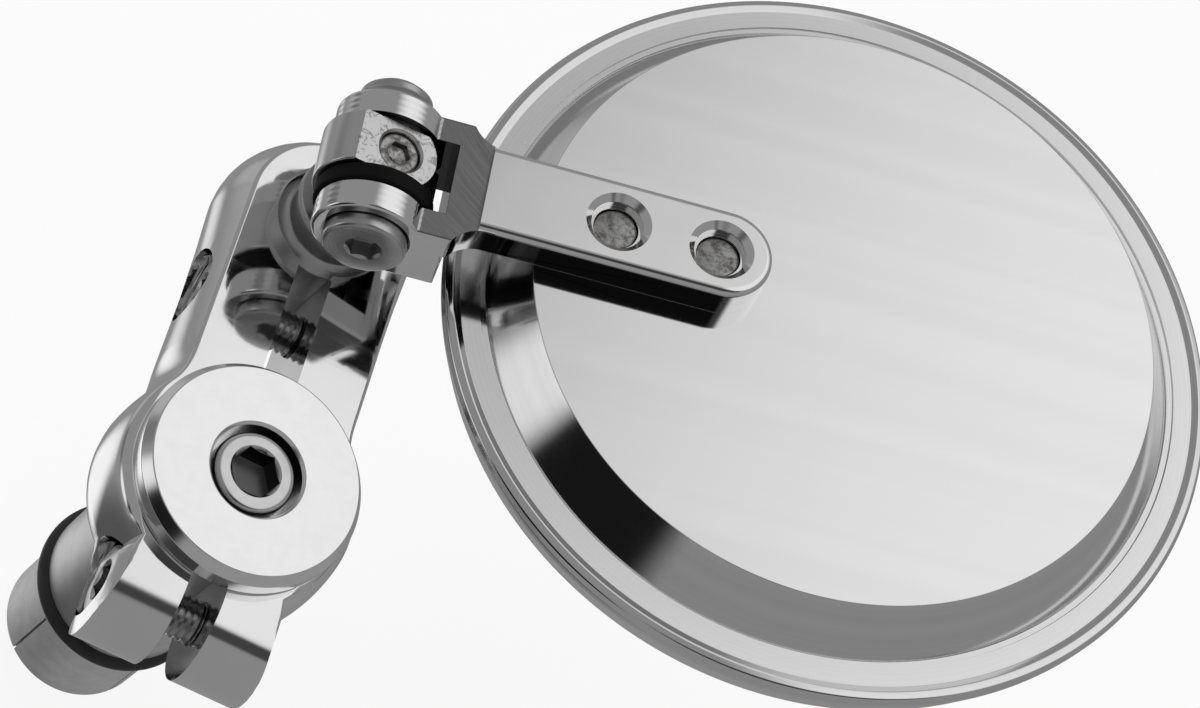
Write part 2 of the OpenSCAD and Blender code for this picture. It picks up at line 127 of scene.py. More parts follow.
# The swivel's stem and block, about the fold axis
SWIVEL_SET = 4.8
STEM_NECK = 5.2
STEM_NECK_LOW = -11.6
STEM_NECK_HIGH = -10.2
STEM_SHOULDER = 6.0
STUD = 2.2
STUD_TALL = 1.6
BLOCK_LOW = -2.325
BLOCK_HIGH = 4.175
BLOCK_MIDDLE = (BLOCK_LOW + BLOCK_HIGH) / 2
BLOCK = 7.0
BLOCK_FLAT = 5.0
BLOCK_SHELF = -0.6
BLOCK_END = 4.3
BLOCK_SEAT = -6.8
SET_SCREW = 2.42
SET_SCREW_TOP = BLOCK_FLAT - 0.5

# The fork, its bolt and nut, and the washers, about the fold axis
FOLD_SET = 16.2
FORK_IN = 4.525
FORK_OUT = 7.725
FORK_FLOOR = 7.6
FORK_BACK = 8.6
EAR = 6.1
PIN = 3.0
PIN_HOLE = PIN + FIT
PIN_HEAD = 4.6
PIN_HEAD_TALL = 2.7
PIN_HEAD_SUNK = 1.1
NUT_SLEEVE = 3.9
NUT_HEAD = 4.1
NUT_TALL = 3.6
NUT_SKIRT = 1.7
NUT_DOME = 3.0
NUT_DOME_TALL = 0.9
WASHER = 6.5
WASHER_TOP = -2.375
THIN_WASHER = 5.1
THIN_WASHER_THICK = 0.3

# The bracket's base and tongue
BASE_END = 11.4
BASE_TOP = 3.5
BASE_FLARE = 4.2
BASE_FLARE_START = BASE_END - 3.1
EAR_END = math.sqrt(EAR ** 2 - BASE_TOP ** 2) + 0.2
TONGUE_HALF = 5.4
TONGUE_TOP = 4.0
TONGUE_TIP = 43.9
SCREWS = (26.2, 37.9)
SHELL_SCREW = 2.5
SHELL_SCREW_HEAD = 4.6

# The mirror, in the bracket's frame
MIRROR_AT = 54.1
MIRROR = 45.0
PLATEAU = -0.35
PLATEAU_R = 36.1
CONE_FOOT = 40.1
SHELL_WALL = 3.4
RING_Z = -5.75
RIM_FRONT = -10.55
LEDGE = -7.65
PAD = 0.8
PAD_INNER = 38.8
GLASS_R = 43.0
GLASS_THICK = 2.0
GLASS_BULGE = 1200.0


# Placing

def turned_by(axis, degrees):
    return Matrix.Rotation(math.radians(degrees), 4, axis)


def moved(x=0.0, y=0.0, z=0.0):
    return Matrix.Translation((x, y, z))


ON_BAR = Matrix.Identity(4)
ON_STEM = moved(y=ARM_CENTRES, z=PIVOT) @ turned_by("Z", SWIVEL_SET)
ON_BRACKET = ON_STEM @ turned_by("Y", -FOLD_SET)
ON_MIRROR = ON_BRACKET @ moved(x=MIRROR_AT)
ALONG_Y = turned_by("X", -90)
ALONG_X = turned_by("Y", 90)
UPSIDE_DOWN = turned_by("X", 180)
# A profile drawn in Y and Z, and raised along X
FROM_THE_SIDE = Matrix(((0, 0, 1, 0), (1, 0, 0, 0), (0, 1, 0, 0), (0, 0, 0, 1)))


# Shapes

def arc(x, y, radius, start, end, steps):
    """Points on a circle between two angles in degrees."""
    sweep = [math.radians(start + (end - start) * i / steps) for i in range(steps + 1)]
    return [(x + radius * math.cos(a), y + radius * math.sin(a)) for a in sweep]


def softened(corners, closed=True, steps=5):
    """Corners as (x, y) or (x, y, radius); a corner with a radius becomes an arc."""
    points = []
    count = len(corners)
    for i, corner in enumerate(corners):
        here = Vector(corner[:2])
        radius = corner[2] if len(corner) > 2 else 0
        if not radius or (not closed and i in (0, count - 1)):
            points.append(tuple(here))
            continue
        back = (Vector(corners[i - 1][:2]) - here).normalized()
        on = (Vector(corners[(i + 1) % count][:2]) - here).normalized()
        half = back.angle(on) / 2
        middle = here + (back + on).normalized() * radius / math.sin(half)
        first = here + back * radius / math.tan(half) - middle
        last = here + on * radius / math.tan(half) - middle
        swing = math.atan2(first.x * last.y - first.y * last.x, first.dot(last))
        for k in range(steps + 1):
            spoke = first.copy()
            spoke.rotate(Matrix.Rotation(swing * k / steps, 2))
            points.append(tuple(middle + spoke))
    return points


def lathe(profile, steps=96, closed=False):
    """A profile of (radius, height) points spun about Z; a closed one makes a ring."""
    bm = bmesh.new()
    rim = [bm.verts.new((r, 0, z)) for r, z in profile]
    for a, b in zip(rim, rim[1:]):
        bm.edges.new((a, b))
    if closed:
        bm.edges.new((rim[-1], rim[0]))
    bmesh.ops.spin(bm, geom=bm.verts[:] + bm.edges[:], cent=(0, 0, 0), axis=(0, 0, 1),
                   angle=2 * math.pi, steps=steps, use_merge=True)
    bmesh.ops.remove_doubles(bm, verts=bm.verts, dist=1e-4)
    bmesh.ops.recalc_face_normals(bm, faces=bm.faces)
    return bm


def plate(outline, low, high, top_edge=0.0, low_edge=0.0, steps=5):
    """An outline in X and Y raised from low to high, with rounded rims."""
    bm = bmesh.new()
    face = bm.faces.new([bm.verts.new((x, y, low)) for x, y in outline])
    grown = bmesh.ops.extrude_face_region(bm, geom=[face])
    raised = [v for v in grown["geom"] if isinstance(v, bmesh.types.BMVert)]
    bmesh.ops.translate(bm, verts=raised, vec=(0, 0, high - low))
    for height, edge in ((high, top_edge), (low, low_edge)):
        if edge:
            rim = [e for e in bm.edges if all(abs(v.co.z - height) < 1e-5 for v in e.verts)]
            bmesh.ops.bevel(bm, geom=rim, offset=edge, segments=steps, profile=0.5,
                            affect="EDGES", material=-1, clamp_overlap=False)
    bmesh.ops.recalc_face_normals(bm, faces=bm.faces)
    return bm


def block(x, y, z):
    """A box between two limits on each axis."""
    bm = bmesh.new()
    bmesh.ops.create_cube(bm, size=1)
    for v in bm.verts:
        v.co = Vector((x[v.co.x > 0], y[v.co.y > 0], z[v.co.z > 0]))
    return bm


def rod(radius, low, high, steps=64):
    """A plain closed cylinder about Z."""
    return lathe([(0, low), (radius, low), (radius, high), (0, high)], steps)


def laid(bm, place):
    """The same shape in another place."""
    bm.transform(place)
    return bm


def as_object(bm, name):
    mesh = bpy.data.meshes.new(name)
    bm.to_mesh(mesh)
    bm.free()
    thing = bpy.data.objects.new(name, mesh)
    bpy.context.scene.collection.objects.link(thing)
    return thing


def worked(bm, name, cuts=(), joins=(), keeps=()):
    """A billet after its joins, its trimming and its cuts."""
    thing = as_object(bm, name)
    for shapes, operation in ((joins, "UNION"), (keeps, "INTERSECT"), (cuts, "DIFFERENCE")):
        for shape in shapes:
            tool = as_object(shape, "tool")
            step = thing.modifiers.new("step", "BOOLEAN")
            step.operation = operation
            step.solver = "EXACT"
            step.object = tool
            graph = bpy.context.evaluated_depsgraph_get()
            mesh = bpy.data.meshes.new_from_object(thing.evaluated_get(graph))
            thing.modifiers.clear()
            thing.data = mesh
            bpy.data.objects.remove(tool)
    out = bmesh.new()
    out.from_mesh(thing.data)
    bpy.data.objects.remove(thing)
    bmesh.ops.remove_doubles(out, verts=out.verts, dist=1e-4)
    return out


def with_socket(bm, name, at, across, depth, lead=0.35):
    """A screw after a six-sided hole, with a drilled cone at its foot and a lead-in, is sunk in it."""
    corner = across / 2 / math.cos(math.pi / 6)
    above = 0.5
    six = lathe([(0, -depth - 0.5), (corner, -depth), (corner, above), (0, above)], 6)
    lead_in = lathe([(0, -1), (corner - 0.3, -lead), (corner + 0.1, 0.05), (corner + 0.1, above),
                     (0, above)], 48)
    return worked(bm, name, cuts=[laid(six, at), laid(lead_in, at)])


def finished(bm, name, place, body, nodes, finish, crease=34, edge=0.0):
    """The piece in metres, on its body, standing for its CAD nodes."""
    bm.transform(Matrix.Scale(MM, 4) @ place)
    thing = as_object(bm, name)
    thing.data.materials.clear()
    thing.data.materials.append(finish)
    if edge:
        rounding = thing.modifiers.new("edge", "BEVEL")
        rounding.width = edge * MM
        rounding.segments = 2
        rounding.limit_method = "ANGLE"
        rounding.angle_limit = math.radians(40)
        rounding.use_clamp_overlap = True
        rounding.harden_normals = False
    thing.data.shade_smooth()
    thing.data.set_sharp_from_angle(angle=math.radians(crease))
    flat = thing.modifiers.new("even shading", "WEIGHTED_NORMAL")
    flat.keep_sharp = True
    flat.weight = 60
    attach(thing, body)
    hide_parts(*nodes)


# Finishes

class Field:
    """A socket that can be used in sums like a number."""

    def __init__(self, tree, socket):
        self.tree = tree
        self.socket = socket

    def sum(self, operation, *others):
        node = self.tree.nodes.new("ShaderNodeMath")
        node.operation = operation
        for entry, value in zip(node.inputs, (self,) + others):
            plug(self.tree, value, entry)
        return Field(self.tree, node.outputs[0])

    def __add__(self, other):
        return self.sum("ADD", other)

    __radd__ = __add__

    def __mul__(self, other):
        return self.sum("MULTIPLY", other)

    __rmul__ = __mul__

    def __sub__(self, other):
        return self.sum("SUBTRACT", other)

    def __rsub__(self, other):
        return (self * -1) + other

    def __truediv__(self, other):
        return self.sum("DIVIDE", other)

    def power(self, other):
        return self.sum("POWER", other)

    def most(self, other):
        return self.sum("MAXIMUM", other)

    def size(self):
        return self.sum("ABSOLUTE")

    def above(self, low, high):
        """0 below low, 1 above high, smooth between; the other way round when low > high."""
        node = self.tree.nodes.new("ShaderNodeMapRange")
        node.interpolation_type = "SMOOTHSTEP"
        plug(self.tree, self, node.inputs["Value"])
        node.inputs["From Min"].default_value = min(low, high)
        node.inputs["From Max"].default_value = max(low, high)
        node.inputs["To Min"].default_value = 0 if low < high else 1
        node.inputs["To Max"].default_value = 1 if low < high else 0
        return Field(self.tree, node.outputs["Result"])


def plug(tree, value, entry):
    if isinstance(value, Field):
        tree.links.new(value.socket, entry)
    else:
        entry.default_value = value


class Shading:
    """Nodes of one tree, made by one call each."""

    def __init__(self, tree):
        self.tree = tree

    def node(self, kind, settings=None, out=0, **values):
        """A node's output; a socket is told by its name, or by i and its number."""
        made = self.tree.nodes.new("ShaderNode" + kind)
        for key, value in (settings or {}).items():
            setattr(made, key, value)
        for key, value in values.items():
            numbered = key[0] == "i" and key[1:].isdigit()
            entry = int(key[1:]) if numbered else key.replace("_", " ")
            plug(self.tree, value, made.inputs[entry])
        return Field(self.tree, made.outputs[out])

    def shade(self, first, second, share):
        """A grey or colour between two, by share."""
        return self.node("Mix", {"data_type": "RGBA"}, out=2, i0=share, i6=first, i7=second)

    def ray(self, kind):
        """1 for rays of this kind and 0 for others."""
        return self.node("LightPath", out="Is " + kind + " Ray")


class Finish(Shading):
    """A material with one Principled shader."""

    def __init__(self, name, **constants):
        self.material = bpy.data.materials.new(name)
        self.material.use_nodes = True
        super().__init__(self.material.node_tree)
        self.shader = self.tree.nodes["Principled BSDF"]
        self.feed(**constants)

    def feed(self, **channels):
        for key, value in channels.items():
            plug(self.tree, value, self.shader.inputs[key.replace("_", " ")])

    def place(self, where, stretch=(1, 1, 1)):
        """Object coordinates in millimetres, in the frame of one of the pieces."""
        inverse = where.inverted()
        point = self.node("TexCoord", out=3)
        in_mm = self.node("Mapping", Vector=point, Location=tuple(inverse.translation),
                          Rotation=tuple(inverse.to_euler()), Scale=(1 / MM, 1 / MM, 1 / MM))
        if stretch == (1, 1, 1):
            return in_mm
        return self.node("Mapping", Vector=in_mm, Scale=stretch)

    def noise(self, at, scale, detail=3, rough=0.5):
        return self.node("TexNoise", Vector=at, Scale=scale, Detail=detail, Roughness=rough)

    def axes(self, at):
        """X, Y and Z of a point."""
        split = self.tree.nodes.new("ShaderNodeSeparateXYZ")
        plug(self.tree, at, split.inputs[0])
        return [Field(self.tree, s) for s in split.outputs]

    def from_axis(self, at):
        """A point's distance from the Z axis."""
        x, y, z = self.axes(at)
        return (x * x + y * y).power(0.5)

    def turning_marks(self, along, pitch):
        """Fine rings left by a lathe, uneven from ring to ring."""
        return self.noise(self.node("CombineXYZ", X=along / pitch, Y=0.0, Z=0.0), 1.0, 4, 0.7)

    def bump(self, height, depth):
        """A bump of the given depth in millimetres."""
        return self.node("Bump", Height=height, Distance=depth * MM, Strength=1.0)


def grey(tone, warmth=0.0):
    return (tone + warmth, tone, tone - warmth, 1)


def arm_finish():
    """The arm: polished, with a soft bloom, hairlines both ways and a few duller smears."""
    finish = Finish("polished arm", Metallic=1.0)
    bloom = finish.noise(finish.place(ON_BAR), 0.09, 2)
    smear = finish.noise(finish.place(ON_BAR, (0.25, 1.6, 1.0)), 0.35, 4)
    hair = finish.noise(finish.place(ON_BAR, (0.15, 9.0, 9.0)), 0.8, 5, 0.7)
    cross = finish.noise(finish.place(ON_BAR, (9.0, 0.15, 9.0)), 0.8, 5, 0.7)
    finish.feed(Base_Color=finish.shade(grey(0.75), grey(0.795), bloom.above(0.3, 0.7)),
                Roughness=smear.above(0.45, 0.75) * 0.077 + 0.055,
                Normal=finish.bump(hair + cross, 0.0002))
    return finish.material


def bracket_finish():
    """The fork and tongue: polished, with milled ears and a dark grey face with brushed lines between
    ears and tongue, and a painted dark reflection on the tongue's sides and the fork's inner walls.
    """
    finish = Finish("polished bracket", Metallic=1.0)
    at = finish.place(ON_BRACKET)
    x, y, z = finish.axes(at)
    face = (z.above(BASE_TOP - 0.12, BASE_TOP - 0.04) * x.above(BASE_END + 0.02, BASE_END - 0.02)
            * x.above(EAR_END, EAR_END + 0.1) * z.above(BASE_TOP + 0.1, BASE_TOP + 0.02))
    ears = x.above(FORK_FLOOR + 1.5, FORK_FLOOR - 1.0) * (1 - face)
    # The brushed lines curve round a point beside the tongue, and the mill left an even ripple
    brush_centre = (30.0, 22.0, 4.0)
    mill_pitch = 0.78
    curve = finish.node("VectorMath", {"operation": "DISTANCE"}, out=1, i0=at, i1=brush_centre)
    hair = finish.noise(finish.node("CombineXYZ", X=curve * 9.0, Y=x * 0.15, Z=0.0), 1.0, 5, 0.75)
    ripple = (y * (2 * math.pi / mill_pitch)).sum("SINE")
    bloom = finish.noise(at, 0.12, 3)
    scuff = finish.noise(finish.place(ON_BRACKET, (0.2, 3.0, 3.0)), 0.9, 5, 0.7)
    metal = finish.shade(grey(0.74), grey(0.84), bloom)
    # The face between ears and tongue is coloured dark grey, with the brushed lines mixed into it
    dark_face_tone = finish.shade(grey(0.21), grey(0.31), hair.above(0.35, 0.68))
    # The tongue's sides and the fork's inner walls get a painted dark reflection: near black colour
    side = (y.size().above(TONGUE_HALF - 0.06, TONGUE_HALF - 0.01) * x.above(BASE_END, BASE_END + 1)
            * z.above(TONGUE_TOP - 0.6, TONGUE_TOP - 1.0) * z.above(PLATEAU + 0.02, PLATEAU + 0.1))
    inner = (y.size().above(FORK_IN + 0.06, FORK_IN + 0.02)
             * x.above(FORK_FLOOR + 0.06, FORK_FLOOR + 0.02))
    # Painted dark reflection: the sides and inner walls are mixed to near black
    colour = finish.shade(finish.shade(metal, dark_face_tone, face), grey(0.05), inner.most(side))
    height = ears * ripple * 0.004 + face * hair * 0.003 + scuff * 0.0003
    finish.feed(Base_Color=colour,
                Roughness=face * 0.3 + scuff * 0.05 + 0.05,
                Normal=finish.bump(height, 1.0))
    return finish.material


def shell_finish():
    """The shell: a milled flat, and turned everywhere beyond the flat's radius."""
    finish = Finish("polished shell", Metallic=1.0)
    at = finish.place(ON_MIRROR)
    radius = finish.from_axis(at)
    flat = radius.above(PLATEAU_R + 0.1, PLATEAU_R - 0.1)
    # Broad passes of the milling cutter, and the hairlines between them
    across = finish.place(ON_MIRROR, (0.012, 1.0, 1.0))
    passes = finish.noise(across, 0.22, 2, 0.4)
    lines = finish.noise(across, 2.6, 5, 0.75)
    rings = finish.turning_marks(radius, 0.22)
    soft = finish.turning_marks(radius, 1.6)
    cloud = finish.noise(at, 0.05, 3)
    milled = finish.shade(grey(0.79), grey(0.85), passes.above(0.35, 0.65) * 0.5 + cloud * 0.5)
    turned = finish.shade(grey(0.62), grey(0.82), soft)
    height = flat * (lines * 0.0003 + passes * 0.00006) + (1 - flat) * (rings * 0.003)
    finish.feed(Base_Color=finish.shade(turned, milled, flat),
                Roughness=(1 - flat) * (rings * 0.05) + 0.07,
                Normal=finish.bump(height, 1.0))
    return finish.material


def turned_finish(name, where, tone, rough, pitch=0.2, depth=0.0015, radial=True, stain=0.9,
                  painted_socket_shade=None):
    """Metal with lathe rings, along its radius or its length, and painted shade in a socket where one
    is given.
    """
    finish = Finish(name, Metallic=1.0)
    at = finish.place(where)
    x, y, z = finish.axes(at)
    radius = finish.from_axis(at)
    rings = finish.turning_marks(radius if radial else z, pitch)
    cloud = finish.noise(at, 0.4, 4, 0.6)
    colour = finish.shade(grey(tone * stain), grey(tone), cloud.above(0.3, 0.65))
    # Painted shade: the socket's walls and floor, inside a given radius and between two heights, are
    # coloured near black
    if painted_socket_shade:
        reach, top, foot = painted_socket_shade
        socket_shade = radius.above(reach, reach - 0.1) * z.above(top, top - 0.3) * z.above(foot - 0.3, foot)
        colour = finish.shade(colour, grey(0.10), socket_shade)
    finish.feed(Base_Color=colour, Roughness=rings * 0.12 + rough, Normal=finish.bump(rings, depth))
    return finish.material


def sleeve_finish():
    """The sleeve: bead-blasted, with a fine even pitting and soft stains."""
    finish = Finish("blasted sleeve", Metallic=0.85)
    at = finish.place(ON_BAR)
    pits = finish.noise(at, 9.0, 3, 0.6)
    stain = finish.noise(at, 0.35, 4, 0.6)
    finish.feed(Base_Color=finish.shade(grey(0.736), grey(0.832), stain.above(0.3, 0.7)),
                Roughness=pits * 0.15 + 0.5,
                Normal=finish.bump(pits, 0.004))
    return finish.material


def worn_finish(name, where, tone, rough=0.28):
    """A used screw: dull stains, scraped edges and crossing scratches."""
    finish = Finish(name, Metallic=1.0)
    dirt = finish.noise(finish.place(where), 1.1, 6, 0.7)
    nick = finish.noise(finish.place(where, (1.0, 6.0, 1.0)), 1.6, 6, 0.8)
    finish.feed(Base_Color=finish.shade(grey(tone * 0.45, 0.01), grey(tone), dirt.above(0.35, 0.6)),
                Roughness=dirt.above(0.6, 0.35) * 0.3 + rough,
                Normal=finish.bump(dirt * 0.6 + nick * 0.6, 0.02))
    return finish.material


def scraped_block_finish():
    """The block: polished, with its flat scraped and stained."""
    finish = Finish("scraped block", Metallic=1.0)
    at = finish.place(ON_STEM)
    x, y, z = finish.axes(at)
    flat = z.above(BLOCK_FLAT - 0.25, BLOCK_FLAT - 0.05)
    slanted = finish.place(ON_STEM @ turned_by("Z", 35), (3.5, 0.5, 1.0))
    scrape = finish.noise(slanted, 0.9, 6, 0.75)
    curl = finish.node("TexNoise", Vector=at, Scale=0.8, Detail=5, Roughness=0.7, Distortion=1.8)
    stain = curl.above(0.52, 0.6) * flat
    finish.feed(Base_Color=finish.shade(grey(0.68), grey(0.34), stain * 0.7),
                Roughness=stain * 0.2 + flat * 0.10 + 0.22,
                Normal=finish.bump(flat * (scrape + curl) * 0.02 + scrape * 0.0006, 1.0))
    return finish.material


def rubber_finish(name, where, tone=0.016, rough=0.42, gloss=0.5):
    """Rubber, plastic or foam: black, with a slightly uneven skin."""
    finish = Finish(name, Metallic=0.0, Specular_IOR_Level=gloss)
    skin = finish.noise(finish.place(where), 3.0, 5, 0.6)
    finish.feed(Base_Color=finish.shade(grey(tone * 0.6), grey(tone * 1.6), skin),
                Roughness=skin * 0.2 + rough,
                Normal=finish.bump(skin, 0.01))
    return finish.material


def glass_finish():
    """Silvered glass: nearly even, with the least smear of a wiped surface."""
    finish = Finish("silvered glass", Metallic=1.0, Coat_Weight=0.6)
    wipe = finish.noise(finish.place(ON_MIRROR, (0.6, 0.2, 1.0)), 0.12, 5, 0.6)
    finish.feed(Base_Color=finish.shade((0.80, 0.83, 0.84, 1), (0.88, 0.90, 0.91, 1), wipe),
                Roughness=wipe.above(0.4, 0.8) * 0.03 + 0.015)
    return finish.material


POLISHED_ARM = arm_finish()
POLISHED_BRACKET = bracket_finish()
CAP_FINISH = turned_finish("polished cap", ON_BAR, 0.86, 0.09, pitch=0.25, depth=0.0006, stain=0.96)
SPIGOT_FINISH = turned_finish("turned spigot", ON_BAR, 0.7, 0.36, pitch=0.3, depth=0.001,
                              radial=False)
BLASTED_SLEEVE = sleeve_finish()
STEM_FINISH = turned_finish("matte stem", ON_STEM, 0.62, 0.36, pitch=0.25, depth=0.002,
                            radial=False)
# The draw bolt's hex socket is given painted shade
BOLT_FINISH = turned_finish("bolt steel", ON_BAR, 0.62, 0.16, depth=0.0012,
                            painted_socket_shade=(2.95, CAP_TOP - 0.6, CAP_TOP - 5.0))
PIVOT_STEEL = turned_finish("pivot steel", ON_BRACKET @ ALONG_Y, 0.55, 0.22)
PINCH_STEEL = turned_finish("pinch bolt steel", ON_BAR @ ALONG_X, 0.55, 0.2, radial=False)
WORN_SCREW = worn_finish("worn screw", ON_BRACKET, 0.42)
BLOCK_SCREW_FINISH = worn_finish("worn set screw", ON_STEM, 0.42, 0.22)
SCRAPED_BLOCK = scraped_block_finish()
SHELL_FINISH = shell_finish()
RING_RUBBER = rubber_finish("ring rubber", ON_BAR)
WASHER_BLACK = rubber_finish("black washer", ON_BRACKET, 0.004, 0.6, 0.15)
PAD_FOAM = rubber_finish("pad foam", ON_MIRROR, 0.03, 0.8)
MIRROR_FACE = glass_finish()


# Pieces on the bar

def bar_spigot():
    recess_floor = ARM_FRONT - RECESS_DEEP
    body = lathe(softened([
        (DRAW_HOLE, 0), (SPIGOT_ROOT, 0), (SPIGOT_ROOT, RING), (SPIGOT, RING, 0.25),
        (SPIGOT, ARM_FRONT), (RECESS, ARM_FRONT), (RECESS, recess_floor),
        (DRAW_HOLE, recess_floor)]), 128, closed=True)
    finished(body, "spigot", ON_BAR, "base", ["bar_spigot"], SPIGOT_FINISH)


def seat_ring():
    """The rubber ring, of round section, against the stub's root."""
    section = RING / 2
    body = lathe(arc(SPIGOT_ROOT + section, section, section, 0, 350, 35), 128, closed=True)
    finished(body, "rubber_ring", ON_BAR, "base", ["seat_o_ring"], RING_RUBBER, 80)


def sleeve():
    body = lathe(softened([
        (SLEEVE_BORE, 0), (SLEEVE, 0), (SLEEVE, SLEEVE_END, 0.7), (SLEEVE - 1, SLEEVE_END, 0.1),
        (SLEEVE_BORE, SLEEVE_TAPER)]), 128, closed=True)
    slits = [laid(block((-18, 18), (-SLIT / 2, SLIT / 2), (SLEEVE_END - 1, SLIT_TOP)),
                  turned_by("Z", turn)) for turn in (45, 135)]
    body = worked(body, "sleeve", cuts=slits)
    finished(body, "split_sleeve", ON_BAR, "base", ["expander_sleeve"],
             BLASTED_SLEEVE)


def draw_bolt():
    seat = CAP_TOP - CAP_WELL_DEEP
    top = seat + DRAW_HEAD_TALL
    body = lathe(softened([
        (0, DRAW_END), (DRAW_THREAD - 0.4, DRAW_END), (DRAW_THREAD, DRAW_END + 0.5),
        (DRAW_THREAD, seat), (DRAW_HEAD, seat, 0.2), (DRAW_HEAD, top, 0.75), (0, top)],
        closed=False), 96)
    body = with_socket(body, "bolt", moved(z=top), across=5, depth=3)
    finished(body, "draw_screw", ON_BAR, "base", ["draw_bolt"], BOLT_FINISH)


def end_cap():
    boss = ARM_FRONT - CAP_BOSS_TALL
    face = ARM_FRONT + CAP_GAP
    well = CAP_TOP - CAP_WELL_DEEP
    body = lathe(softened([
        (DRAW_HOLE, boss), (CAP_BOSS, boss, 0.3), (CAP_BOSS, face), (CAP, face, 0.35),
        (CAP, CAP_TOP - 1.3, 0.3), (CAP - 0.8, CAP_TOP, 0.22), (CAP_WELL + 0.3, CAP_TOP, 0.1),
        (CAP_WELL, CAP_TOP - 0.35, 0.1), (CAP_WELL, well), (DRAW_HOLE, well)]), 160, closed=True)
    finished(body, "cap", ON_BAR, "base", ["end_cap"], CAP_FINISH)


# The arm

def arm_outline():
    """Round the arm from the right lug's lower corner, with points on the walls for the swell."""
    join = -math.degrees(math.acos(LUG_HALF / HUB))
    touch = math.degrees(math.atan2(FLARE_AT[1], FLARE_AT[0]))
    right = [(LUG_HALF, y) for y in (LUG_END - 1, -18.0, -15.0, -13.0, -12.0)]
    right += arc(0, 0, HUB, join, touch, 36)
    right += arc(FLARE_AT[0], FLARE_AT[1], FLARE, 180 + touch, 180, 14)[1:]
    right += [(ARM_HALF, y) for y in (18.0, 24.0, 30.0)]
    top = arc(0, ARM_CENTRES, ARM_HALF, 0, 180, 72)
    return right + top + [(-x, y) for x, y in reversed(right)]


def eased(share):
    """A share kept between 0 and 1, with soft ends."""
    share = min(1.0, max(0.0, share))
    return share * share * (3 - 2 * share)


def arm_wall(p):
    """At a point of the outline: inset of the rims, swell of the wall, back and front rounding."""
    turn = math.degrees(math.atan2(p.y, abs(p.x)))
    shank = eased((p.y - HUB_TOUCH) / (FLARE_AT[1] - HUB_TOUCH))
    end = eased((p.y - END_FROM) / END_FADE)
    lug = eased((LUG_JOIN - p.y) / LUG_FADE)
    hub = (1 - shank) * (1 - lug)
    sides = hub * eased((SIDE_TO - turn) / SIDE_TO_FADE) * eased((turn - SIDE_FROM) / SIDE_FROM_FADE)
    rim = RIM_HUB * hub + RIM_LUG * lug
    swell = SWELL_HUB * hub + SWELL_SHANK * shank + SWELL_END * end + SWELL_LUG * lug
    return rim, swell, BACK_EDGE + BACK_ROUND * sides, FRONT_EDGE + FRONT_ROUND * sides


def quarter_round(radius, steps):
    """Points of a quarter round from the wall to the face: inset from the one, rise to the other."""
    return [(radius * (1 - math.cos(b)), radius * math.sin(b))
            for b in (math.radians(90 * k / steps) for k in range(steps + 1))]


def arm_billet():
    """The outline raised to a solid whose walls swell between the rims."""
    outline = [Vector(p) for p in arm_outline()]
    count = len(outline)
    half = (ARM_FRONT - ARM_BACK) / 2
    columns = []
    for i, p in enumerate(outline):
        along = (outline[(i + 1) % count] - outline[i - 1]).normalized()
        inward = Vector((-along.y, along.x))
        rim, swell, back, front = arm_wall(p)
        low = ARM_BACK + back
        high = ARM_FRONT - front
        wall = [(inset, low - rise) for inset, rise in reversed(quarter_round(back, 8))]
        wall += [(0, low + (high - low) * k / 10) for k in range(1, 10)]
        wall += [(inset, high + rise) for inset, rise in quarter_round(front, 5)]
        column = []
        for inset, z in wall:
            bulge = 1 - ((z - PINCH_Z) / half) ** 2
            at = p + inward * (inset + rim - swell * bulge)
            column.append((at.x, at.y, z))
        columns.append(column)
    bm = bmesh.new()
    rings = [[bm.verts.new(column[k]) for column in columns] for k in range(len(columns[0]))]
    for low, high in zip(rings, rings[1:]):
        for i in range(count):
            j = (i + 1) % count
            bm.faces.new((low[i], low[j], high[j], high[i]))
    bm.faces.new(list(reversed(rings[0])))
    bm.faces.new(rings[-1])
    bmesh.ops.recalc_face_normals(bm, faces=bm.faces)
    return bm


def rounded_lugs():
    """What the arm keeps: a plain bar that ends in a full round over the lower pinch bolt."""
    half = (ARM_FRONT - ARM_BACK) / 2
    middle = LUG_END + half
    side = arc(middle, PINCH_Z, half, 90, 270, 40)
    # The round's ends run out past the arm's faces, so that the trim doesn't graze them
    side[0] = (side[0][0] + 1, ARM_FRONT + 0.005)
    side[-1] = (side[-1][0] + 1, ARM_BACK - 0.005)
    side += [(middle + 2, ARM_BACK - 1), (60, ARM_BACK - 1), (60, ARM_FRONT + 1),
             (middle + 2, ARM_FRONT + 1)]
    return laid(plate(side, -20, 20), FROM_THE_SIDE)


def flared_hole(radius, low, high):
    """A hole's cutter, opened out a little at both faces."""
    edge = 0.3
    return lathe([(0, low - 1), (radius + edge + 1, low - 1), (radius, low + edge),
                  (radius, high - edge), (radius + edge + 1, high + 1), (0, high + 1)], 96)


def pinch_cut(y, side):
    """Seat, clear hole and threaded hole of one pinch bolt."""
    at = moved(y=y, z=PINCH_Z) @ ALONG_X
    seat = rod(PINCH_SEAT, -24, -side + PINCH_DEPTH, 72)
    hole = rod(PINCH_THREAD + LOOSE, -12, 0)
    thread = rod(PINCH_THREAD + FIT, -0.5, 24)
    return [laid(bm, at) for bm in (seat, hole, thread)]


def clamp_arm():
    cuts = [flared_hole(SPIGOT + FIT, ARM_BACK, ARM_FRONT),
            laid(flared_hole(STEM + FIT, ARM_BACK, ARM_FRONT), moved(y=ARM_CENTRES)),
            block((-SLOT / 2, SLOT / 2), (-30, ARM_CENTRES), (ARM_BACK - 2, ARM_FRONT + 2))]
    cuts += pinch_cut(PINCH_LOW_Y, LUG_HALF) + pinch_cut(PINCH_HIGH_Y, ARM_HALF)
    body = worked(arm_billet(), "arm", keeps=[rounded_lugs()], cuts=cuts)
    finished(body, "arm", ON_BAR, "arm", ["clamp_arm"], POLISHED_ARM, 24, edge=0.16)


